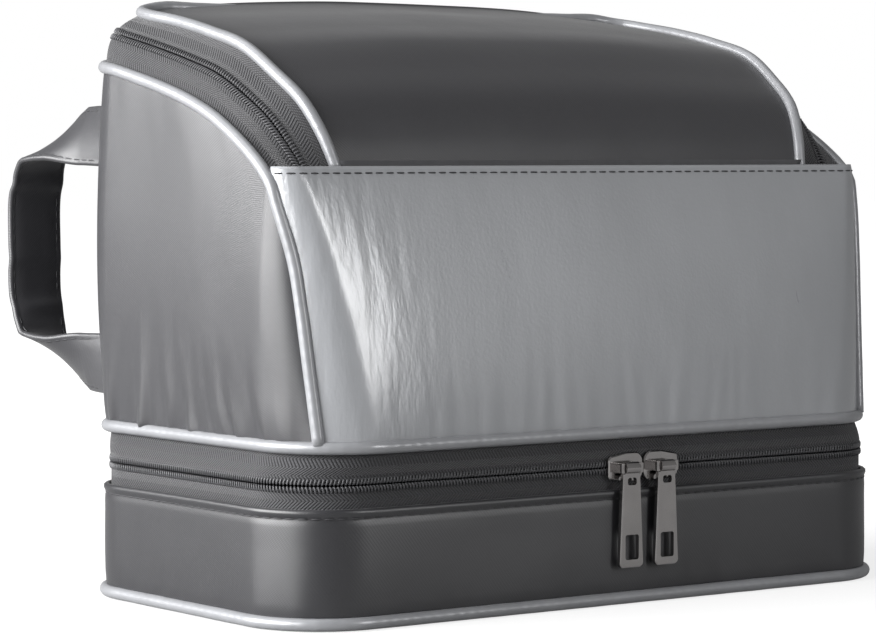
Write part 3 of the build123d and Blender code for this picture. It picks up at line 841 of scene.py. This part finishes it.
def corner_swell(places):
    """How far the padding pushes the back corners out, nothing at the front seams."""
    turn = np.minimum(np.mod(places, 1.0), 1 - np.mod(places, 1.0))
    share = np.clip((LEFT_FRONT_SEAM - turn) / (LEFT_FRONT_SEAM - LEFT_BACK_SEAM), 0, 1)
    return CORNER_PADDING * share ** 0.5


def front_seam(height):
    """Place of the left front seam, which turns onto the side near the rim."""
    return LEFT_FRONT_SEAM - SEAM_SHIFT * np.clip((height - SHIFT_FROM_Z) / SHIFT_OVER, 0, 1) ** 2


def right_front(height):
    """Place of the right front seam."""
    return 1 - front_seam(height)


def left_back(height):
    """Place of the left back seam, the same at every height."""
    return LEFT_BACK_SEAM


def right_back(height):
    """Place of the right back seam."""
    return 1 - LEFT_BACK_SEAM


def back_end(height):
    """The left back seam, reached again after a whole turn."""
    return 1 + LEFT_BACK_SEAM


def panel(name, start, end, columns, rows, bulge, folds, thickness, material, nodes, seed, tops=None,
          turn_in=26.0):
    """A padded panel of the upper body between two seams."""
    distance = np.linspace(0, (end(WAIST_Z) - start(WAIST_Z)) * PERIMETER, columns)
    near = np.minimum(distance, distance[-1] - distance)
    side = 1 - (1 - np.clip(near / turn_in, 0, 1)) ** 2
    foot = WAIST_Z + PANEL_FOOT
    grid = []
    for share in np.linspace(0, 1, rows):
        level = WAIST_Z + share * (RIM_Z - LEVELS_BELOW_RIM - WAIST_Z)
        places = np.linspace(start(level), end(level), columns)
        top = column_tops(places) if tops is None else np.full(columns, tops)
        height = foot + share * (top - foot)
        tall = top - WAIST_Z
        swell = (bulge * side + corner_swell(places)) * math.sin(math.pi * share) ** 0.7
        gather = pucker(distance, share * tall, 12.0, folds, 15.0, seed) * side
        edge = pucker(distance, (1 - share) * tall, 26.0, folds * 0.1, 12.0, seed + 3) * side
        soft = 0.9 * folds * bumps(seed + 5, distance, share * 60.0, 34.0) * side
        grid.append(row_at(trunk(places, height), height, swell + gather + edge + soft))
    return cloth(name, grid, thickness, material, "upper_body", nodes), np.array(grid)


def make_side_panels():
    """The two sides and the back, lightly padded."""
    for name, start, end, columns, rows, bulge, folds, node, seed in (
            ("left_side_cloth", left_back, front_seam, 120, 80, 1.6, 0.95, "left_side_panel", 11.0),
            ("right_side_cloth", right_front, right_back, 120, 80, 1.6, 0.95, "right_side_panel", 23.0),
            ("back_cloth", right_back, back_end, 150, 50, 0.4, 0.8, "back_panel", 31.0)):
        piece, _ = panel(name, start, end, columns, rows, bulge, folds, PANEL_THICK, CLOTH_MAT,
                         (node,), seed)


def make_pocket():
    """The pocket over its front panel, with a topstitched hem."""
    pocket, grid = panel("front_pocket_skin", front_seam, right_front, 190, 80, 4.0, 0.12, POCKET_THICK,
                         SILVER_MAT, ("front_pocket", "pocket_hem"), 41.0, tops=RIM_Z,
                         turn_in=42.0)
    front, _ = panel("front_panel_cloth", front_seam, right_front, 90, 16, 0.0, 0.0, FRONT_THICK, LINING_MAT,
                     ("front_panel",), 47.0, tops=RIM_Z - FRONT_LOWER)
    front.data.transform(Matrix.Translation((0, FRONT_BEHIND * MM, 0)))
    number = int(round((1 - POCKET_HEM / (RIM_Z - WAIST_Z)) * (len(grid) - 1)))
    out = grid_normals(grid)[number]
    out = -out if out[len(out) // 2, 1] > 0 else out
    stitches("pocket_hem_stitches", grid[number] + out * 0.05, out, "upper_body",
             length=POCKET_STITCH)


make_side_panels()
make_pocket()

# Piping, board and lining of the upper body
CORNER_CORD_HEIGHTS = (56.2, 78.0, 98.0, 112.0, 122.0, 129.5, 135.0)
CORNER_CORD_OUT = 0.3
CORNER_CORD_TOP = (119.0, -40.6, 140.0)
BOARD_LOW = 0.4
BOARD_HIGH = 2.0
LINING_INSET = 2.9
LINING_TOP_INSET = 3.0
LINING_BELOW_SEAM = 2.4
LINING_BELOW_HEM = 0.8
LINING_FOOT = 2.1
NO_LIMIT = 400.0


def make_body_piping():
    """Piping up the front corners and round the top, at the waist, and along the lid."""
    corner = []
    for height in CORNER_CORD_HEIGHTS:
        x, y, nx, ny = trunk(np.array([front_seam(height)]), height)
        corner.append((-x[0] - CORNER_CORD_OUT * nx[0], y[0] + CORNER_CORD_OUT * ny[0], height))
    route = whole(corner + [CORNER_CORD_TOP] + body_half[1:])
    piping_cord("body_piping_cord", route, "upper_body", "body_piping")
    waist = row_at(outline(WAIST, ring_places(360)), WAIST_Z)
    piping_cord("waist_piping_cord", waist, "upper_body", "waist_piping", closed=True)
    piping_cord("lid_piping_cord", lid_route, "lid", "lid_piping")


def make_main_lining():
    """Lining of the main compartment, cut along the sloping seam and below the pocket's hem."""
    places = ring_places(260)
    in_front = (places > LEFT_FRONT_SEAM) & (places < 1 - LEFT_FRONT_SEAM)
    hem = np.where(in_front, RIM_Z - LINING_BELOW_HEM, NO_LIMIT)
    top = np.minimum(column_tops(places, LINING_TOP_INSET, LINING_BELOW_SEAM), hem)
    grid = []
    for share in np.linspace(0, 1, 30):
        height = WAIST_Z + LINING_FOOT + share * (top - WAIST_Z - LINING_FOOT)
        sway = 0.4 * bumps(51.0, places * PERIMETER, share * 90.0, 25.0) - 0.2
        grid.append(row_at(trunk(places, height, LINING_INSET), height, sway))
    piece = cloth("main_lining_cloth", grid, LINING_THICK, LINING_MAT, "upper_body",
                  ("main_lining",), closed=True)


make_body_piping()
plate("partition_board", WAIST, WAIST_Z - BOARD_LOW, WAIST_Z + BOARD_HIGH, LINING_MAT, "upper_body",
      "partition_panel", sag=0.5, seed=5.0)
make_main_lining()

# Main zip band, which swells most at the back corners
BAND_STEP = 1.6
BAND_SWELL = 0.45
CORNER_SWELL = 3.2
CORNER_STATION = 8.0
CORNER_REACH = 1.9
BAND_HALF_GAP = 0.45
BAND_UNDER_PIPING = 0.9
BAND_SINK = 0.1
BAG_MIDDLE = np.array([0.0, 10.0, 120.0])


def band_frame(step):
    """Middle line of the band, its direction across towards the lid, and its outward normal."""
    middle = (body_route + lid_route) / 2
    places = even_places(middle, step)
    low, high = curve_at(body_route, places), curve_at(lid_route, places)
    across = high - low
    width = np.linalg.norm(across, axis=1, keepdims=True)
    across /= width
    line = (low + high) / 2
    out = unit(np.cross(np.gradient(line, axis=0), across))
    out = np.where(((line - BAG_MIDDLE) * out).sum(1, keepdims=True) < 0, -out, out)
    stations = np.minimum(places, len(middle) - 1 - places)
    swell = BAND_SWELL + CORNER_SWELL * np.exp(-((stations - CORNER_STATION) / CORNER_REACH) ** 2)
    return line, across, out, width, swell[:, None]


def make_main_zip():
    """Both tapes and both halves of the coil over the sides and the back."""
    line, across, out, width, swell = band_frame(BAND_STEP)
    for name, side, body, node in (("body_zip_tape_weave", -1, "upper_body", "body_zip_tape"),
                                   ("lid_zip_tape_weave", 1, "lid", "lid_zip_tape")):
        rows = []
        for share in np.linspace(0, 1, 8):
            reach = side * (BAND_HALF_GAP + share * (width / 2 - BAND_UNDER_PIPING - BAND_HALF_GAP))
            rise = swell * math.sin(math.pi * (0.5 + share / 2)) - BAND_SINK
            rows.append(line + across * reach + out * rise)
        piece = cloth(name, rows, TAPE_THICK, TAPE_MAT, body, (node,), outward=out[None])
    raised = line + out * (swell - BAND_SINK)
    coil_half("body_zip_coil_turns", raised, across, out, -1, "upper_body", "body_zip_coil")
    coil_half("lid_zip_coil_turns", raised, across, out, 1, "lid", "lid_zip_coil")


make_main_zip()

# Lid
LID_CROWN = 4.4
LID_COLUMNS = 90
LID_PLACES = np.concatenate([np.linspace(0, 7, 60), np.linspace(7, 11, 22)[1:]])
LID_EDGE_DIP = 0.9
LID_LINING_DEPTH = 2.2
FOLD_HALF = 95.0
FOLD_LOW_Z = 131.2
FOLD_HEIGHT = 11.0
FOLD_Y = -48.0


def lid_grid(depth):
    """The lid's face at a depth, from the pocket's hem over the top to the back."""
    share = np.linspace(-1, 1, LID_COLUMNS)
    grid = []
    for place, (x, y, z) in zip(LID_PLACES, curve_at(np.array(lid_half), LID_PLACES)):
        rise = LID_CROWN * min(1.0, (place / 4) ** 1.1) * (1 - 0.1 * min(1, max(0, place - 6)))
        px = x * share
        pz = z + rise * (1 - np.abs(share) ** 2.2)
        edge_dip = LID_EDGE_DIP * np.exp(-(1 - np.abs(share)) * x / 4.0)
        soft = 0.35 * bumps(61.0, px, y + z, 38.0) * (1 - np.abs(share) ** 8)
        grid.append(np.stack([px, np.full_like(px, y), pz - edge_dip + soft], axis=1))
    grid = np.array(grid)
    normal = grid_normals(grid)
    normal = np.where(normal[..., 2:] < 0, -normal, normal)
    return grid - normal * depth


def make_lid():
    """The crowned lid and its lining."""
    skin = cloth("lid_cloth", lid_grid(0.0), LID_THICK, CLOTH_MAT, "lid", ("lid_panel",))
    inner = cloth("lid_lining_cloth", lid_grid(LID_LINING_DEPTH), LINING_THICK, LINING_MAT, "lid",
                  ("lid_lining",))


def make_lid_fold():
    """Cloth along the lid's front edge that is sewn behind the pocket."""
    across = np.linspace(-FOLD_HALF, FOLD_HALF, 80)
    rows = []
    for share in np.linspace(0, 1, 9):
        height = FOLD_LOW_Z + share * FOLD_HEIGHT
        y = FOLD_Y + 1.4 * max(0.0, share - 0.5)
        rows.append(np.stack([across, np.full_like(across, y), np.full_like(across, height)], axis=1))
    piece = cloth("lid_fold_cloth", rows, FOLD_THICK, LINING_MAT, None,
                  outward=np.array([0.0, -1.0, 0.0]))
    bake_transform(piece)


make_lid()
make_lid_fold()

# Strap handle: where it is sewn in, how far it reaches, and half of its section as width and thickness
SEAM_X = -113.1
SEAM_Y = 61.1
GRIP_Z = 112.5
REACH = 53.0
SPREAD = 37.5
STRAP_STEP = 1.2
SLANT = 0.05
STITCH_LINE = 8.3
STITCH_FACE = 0.85
END_ROWS = 4
FACE = [(-10.0, 0.0), (-9.8, 0.75), (-9.0, 1.05), (-STITCH_LINE, STITCH_FACE), (-7.6, 1.05), (-4, 1.15),
        (0, 1.2), (4, 1.15), (7.6, 1.05), (STITCH_LINE, STITCH_FACE), (9.0, 1.05), (9.8, 0.75)]
SECTION = FACE + [(10.0, 0.0)] + [(-a, -b) for a, b in FACE[1:]]

# Creases of the strap: distance from its middle and depth
CREASES = ((-22, 0.8), (4, 0.5), (21, 0.9), (31, -0.7), (-33, -0.6))
CREASE_REACH = 2.6


def strap_stations():
    """Middle and width direction of the strap along its loop, from reach, rise, twist and lean."""
    upper = [(0.0, SPREAD, 0, 0), (0.30 * REACH, SPREAD, 15, 2), (0.62 * REACH, SPREAD - 1.5, 50, 14),
             (0.88 * REACH, SPREAD - 8, 78, 42), (0.98 * REACH, SPREAD - 18, 88, 72)]
    stations = upper + [(REACH, 0, 90, 90)]
    stations += [(r, -s, 180 - t, 180 - a) for r, s, t, a in reversed(upper)]
    centres, widths = [], []
    for reach, rise, twist, lean in stations:
        twist, lean = math.radians(twist), math.radians(lean)
        along = np.array([0, math.cos(lean), -math.sin(lean)])
        wide = np.array([math.sin(twist), 0, math.cos(twist)])
        wide -= along * (wide @ along)
        centres.append((SEAM_X + SLANT * reach, SEAM_Y + reach, GRIP_Z + rise))
        widths.append(wide / np.linalg.norm(wide))
    return np.array(centres), np.array(widths)


def make_handle():
    """The twisted strap and its four rows of stitches."""
    centres, widths = strap_stations()
    places = even_places(centres, STRAP_STEP)
    line = curve_at(centres, places)
    wide = curve_at(widths, places)
    along = unit(np.gradient(line, axis=0))
    wide = unit(wide - along * (wide * along).sum(1, keepdims=True))
    face = np.cross(along, wide)
    length = running_length(line)
    verts, uvs = [], []
    for i, at in enumerate(length):
        from_middle = at - length[-1] / 2
        bend = sum(depth * math.exp(-((from_middle - place) / CREASE_REACH) ** 2)
                   for place, depth in CREASES)
        squeeze = 1 - 0.015 * abs(bend)
        for a, b in SECTION:
            slope = bend * (0.7 + 0.3 * math.sin(a * 0.3 + at * 0.2))
            verts.append(line[i] + wide[i] * a * squeeze + face[i] * (b + slope))
            uvs.append((at, a))
    make_mesh("handle_strap_webbing", verts, tube_faces(len(line), len(SECTION)), uvs, CLOTH_MAT,
              "upper_body", ("handle_strap",))
    for side in (-1, 1):
        for turn in (-1, 1):
            row = line + wide * side * STITCH_LINE + face * turn * STITCH_FACE
            label = f"strap_stitches_{'outer' if turn > 0 else 'inner'}_{'a' if side > 0 else 'b'}"
            stitches(label, row[END_ROWS:-END_ROWS], face[END_ROWS:-END_ROWS] * turn, "upper_body")


make_handle()

# Metal sliders and pulls keep their solids
for label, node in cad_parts.items():
    if label.endswith(("_slider", "_pull")):
        node.data.materials.clear()
        node.data.materials.append(METAL_MAT)

# Floor, light and camera, in metres
GLOSS_SHARE = 0.16
FLOOR_HALF = 6.0
FLOOR_DROP = 0.0002
FLOOR_GREY = (0.30, 0.30, 0.30)
FLOOR_NEAR = 0.20
FLOOR_FAR = 0.75
FLOOR_NEAR_WHITE = 0.78
WORLD_LOW = 0.08
CAMERA_TURN = math.radians(-36.21)
CAMERA_RISE = math.radians(2.82)
CAMERA_FAR = 1.1075
CAMERA_LENS = 139.85
CAMERA_SENSOR = 36.0
TARGET = Vector((-0.03333, -0.01420, 0.09129))


def seen_share(g):
    """1 where the camera looks, less where a gloss reflects, 0 for the light that falls on the bag."""
    path = g.node("ShaderNodeLightPath").outputs
    dim = g.math("MULTIPLY", path["Is Glossy Ray"], GLOSS_SHARE)
    most = g.math("MAXIMUM", path["Is Camera Ray"], path["Is Transmission Ray"])
    return g.math("MAXIMUM", most, dim)


def make_stage():
    """A wide pale floor that shows white and keeps a faint shadow."""
    mesh = bpy.data.meshes.new("floor")
    half = FLOOR_HALF
    mesh.from_pydata([(-half, -half, 0), (half, -half, 0), (half, half, 0), (-half, half, 0)], [],
                     [(0, 1, 2, 3)])
    floor = bpy.data.objects.new("floor", mesh)
    floor.location.z = -FLOOR_DROP
    bpy.context.scene.collection.objects.link(floor)
    material, shader = principled("pale_floor", FLOOR_GREY, 1.0, specular=0.0)
    shader.inputs["Emission Color"].default_value = (1, 1, 1, 1)
    g = Graph(material)
    far = g.node("ShaderNodeVectorMath", {0: g.place()}, operation="LENGTH").outputs["Value"]
    white = g.fade(far, FLOOR_NEAR, FLOOR_FAR, FLOOR_NEAR_WHITE, 1.0)
    g.join(g.math("MULTIPLY", seen_share(g), white), shader, "Emission Strength")
    mesh.materials.append(material)


def area_light(name, place, target, size, power):
    """A rectangular lamp turned towards a target."""
    lamp = bpy.data.lights.new(name, "AREA")
    lamp.shape = "RECTANGLE"
    lamp.size, lamp.size_y = size
    lamp.energy = power
    made = bpy.data.objects.new(name, lamp)
    made.location = place
    made.rotation_euler = (Vector(target) - Vector(place)).to_track_quat("-Z", "Y").to_euler()
    bpy.context.scene.collection.objects.link(made)


def make_camera():
    """The photograph's viewpoint."""
    level = math.cos(CAMERA_RISE)
    back = Vector((math.sin(CAMERA_TURN) * level, -math.cos(CAMERA_TURN) * level, math.sin(CAMERA_RISE)))
    lens = bpy.data.cameras.new("camera")
    lens.sensor_width = CAMERA_SENSOR
    lens.lens = CAMERA_LENS
    lens.clip_start = 0.01
    camera = bpy.data.objects.new("camera", lens)
    camera.location = TARGET + back * CAMERA_FAR
    camera.rotation_euler = (-back).to_track_quat("-Z", "Y").to_euler()
    bpy.context.scene.collection.objects.link(camera)
    bpy.context.scene.camera = camera


def make_world():
    """White where the camera sees it, faint as light on the bag."""
    world = bpy.data.worlds.new("studio")
    world.use_nodes = True
    g = Graph(world)
    background = g.tree.nodes["Background"]
    background.inputs["Color"].default_value = (1, 1, 1, 1)
    g.join(g.spread(seen_share(g), WORLD_LOW, 1.0), background, "Strength")
    bpy.context.scene.world = world


make_stage()
area_light("left_key", (-1.45, 0.40, 0.60), (0, 0.1, 0.12), (2.2, 1.2), 88.0)
area_light("top_soft", (-0.5, 0.4, 1.7), (0, 0, 0.1), (1.2, 1.2), 7.0)
area_light("front_strip", (0.60, -1.55, 0.62), (-0.05, -0.05, 0.1), (0.24, 0.8), 9.0)
make_camera()
make_world()
bpy.context.scene.view_settings.view_transform = "Standard"
